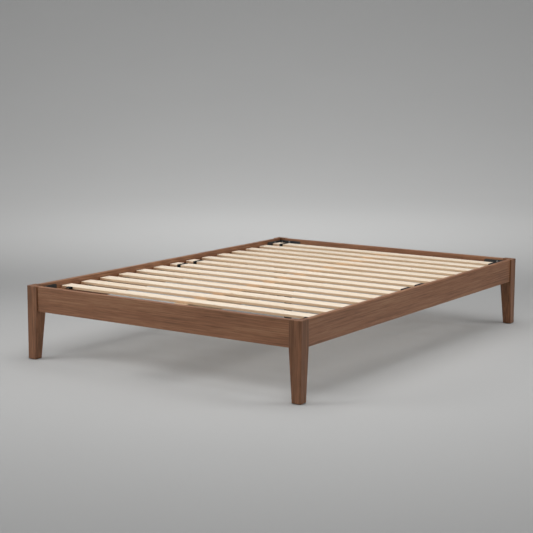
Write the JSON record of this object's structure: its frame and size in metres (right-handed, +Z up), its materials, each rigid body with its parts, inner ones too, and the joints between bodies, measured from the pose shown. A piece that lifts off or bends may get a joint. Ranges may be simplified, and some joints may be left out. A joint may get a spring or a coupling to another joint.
{
  "type": "bed frame",
  "caption": "Low double bed frame: dark stained rails between tapered square legs, pale flat slats on ledgers and a centre beam with a levelling leg.",
  "frame": {"origin": "on the floor under the middle of the bed", "axes": "+X to the right as seen from the foot, +Y towards the head end, +Z up"},
  "size_m": [1.464, 2.064, 0.338],
  "materials": {
    "walnut_stained_wood": "satin lacquer over walnut stain",
    "pine": "planed, bare",
    "beech": "bare",
    "black_webbing": "woven",
    "black_steel": "powder coat, satin",
    "black_plastic": "moulded, fine texture",
    "zinc_steel": "bright zinc plate"
  },
  "bodies": {
    "bed_frame": {"bracket_bolts": "zinc_steel", "bracket_foot_left": "black_steel", "bracket_foot_right": "black_steel", "bracket_head_left": "black_steel", "bracket_head_right": "black_steel", "centre_beam": "pine", "centre_leg": "black_steel", "foot_rail": "walnut_stained_wood", "glide_foot_left": "black_plastic", "glide_foot_right": "black_plastic", "glide_head_left": "black_plastic", "glide_head_right": "black_plastic", "hanger_foot": "black_steel", "hanger_head": "black_steel", "hanger_screws": "zinc_steel", "head_rail": "walnut_stained_wood", "ledger_screws": "zinc_steel", "left_ledger": "walnut_stained_wood", "left_rail": "walnut_stained_wood", "leg_foot_left": "walnut_stained_wood", "leg_foot_right": "walnut_stained_wood", "leg_head_left": "walnut_stained_wood", "leg_head_right": "walnut_stained_wood", "leg_nut": "zinc_steel", "leg_plate_screws": "zinc_steel", "leg_plug": "black_plastic", "post_screws": "zinc_steel", "rail_dowels": "beech", "rail_inserts": "zinc_steel", "right_ledger": "walnut_stained_wood", "right_rail": "walnut_stained_wood", "slat_01": "pine", "slat_02": "pine", "slat_03": "pine", "slat_04": "pine", "slat_05": "pine", "slat_06": "pine", "slat_07": "pine", "slat_08": "pine", "slat_09": "pine", "slat_10": "pine", "slat_11": "pine", "slat_12": "pine", "slat_13": "pine", "slat_14": "pine", "tape_foot_left": "black_webbing", "tape_foot_right": "black_webbing", "tape_head_left": "black_webbing", "tape_head_right": "black_webbing", "tape_staples": "zinc_steel"},
    "pad": {"levelling_pad": "black_plastic"},
    "stud": {"levelling_stud": "zinc_steel"}
  },
  "joints": [
    {"name": "pad_lift", "type": "slide", "parent": "bed_frame", "child": "pad", "axis": [0, 0, 1], "range_m": [-0.0076, 0.0063]},
    {"name": "stud_turn", "type": "hinge", "parent": "pad", "child": "stud", "pos_m": [0, 0, 0.03], "axis": [0, 0, 1], "range_deg": [-2160, 1800]}
  ],
  "couplings": [
    {"joint": "pad_lift", "follows": "stud_turn", "m_per_rad": 0.00019894}
  ]
}
